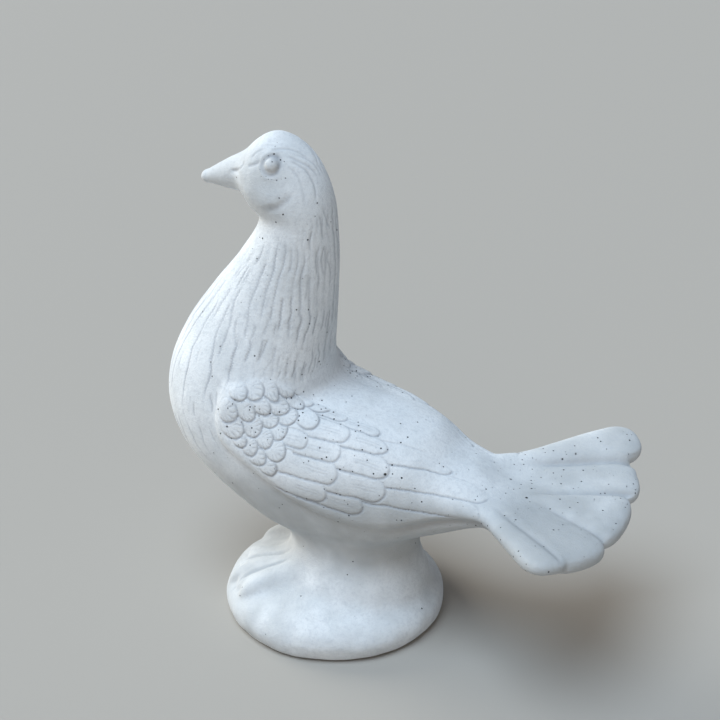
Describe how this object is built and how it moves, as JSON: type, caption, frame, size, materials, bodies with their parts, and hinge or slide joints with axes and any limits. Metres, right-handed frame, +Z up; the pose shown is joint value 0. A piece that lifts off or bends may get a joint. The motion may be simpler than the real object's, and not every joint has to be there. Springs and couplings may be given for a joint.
{
  "type": "garden pigeon statue",
  "caption": "Garden statue of a standing pigeon with a fanned tail, cast in white cement in one piece with the low round mound it stands on.",
  "frame": {"origin": "on the mound's flat underside, in the bird's middle plane", "axes": "+Z up, the bill points to -X, the tail to +X, and the bird's right side is +Y"},
  "size_m": [0.2897, 0.1676, 0.3003],
  "materials": {
    "cast_cement": "matte"
  },
  "bodies": {
    "root": {"head": "cast_cement", "bill": "cast_cement", "eye_right": "cast_cement", "eye_left": "cast_cement", "neck": "cast_cement", "trunk": "cast_cement", "wing_right": "cast_cement", "wing_left": "cast_cement", "tail_root": "cast_cement", "tail_feather_1": "cast_cement", "tail_feather_2": "cast_cement", "tail_feather_3": "cast_cement", "tail_feather_4": "cast_cement", "tail_feather_5": "cast_cement", "foot_right": "cast_cement", "foot_left": "cast_cement", "mound": "cast_cement"}
  },
  "joints": []
}
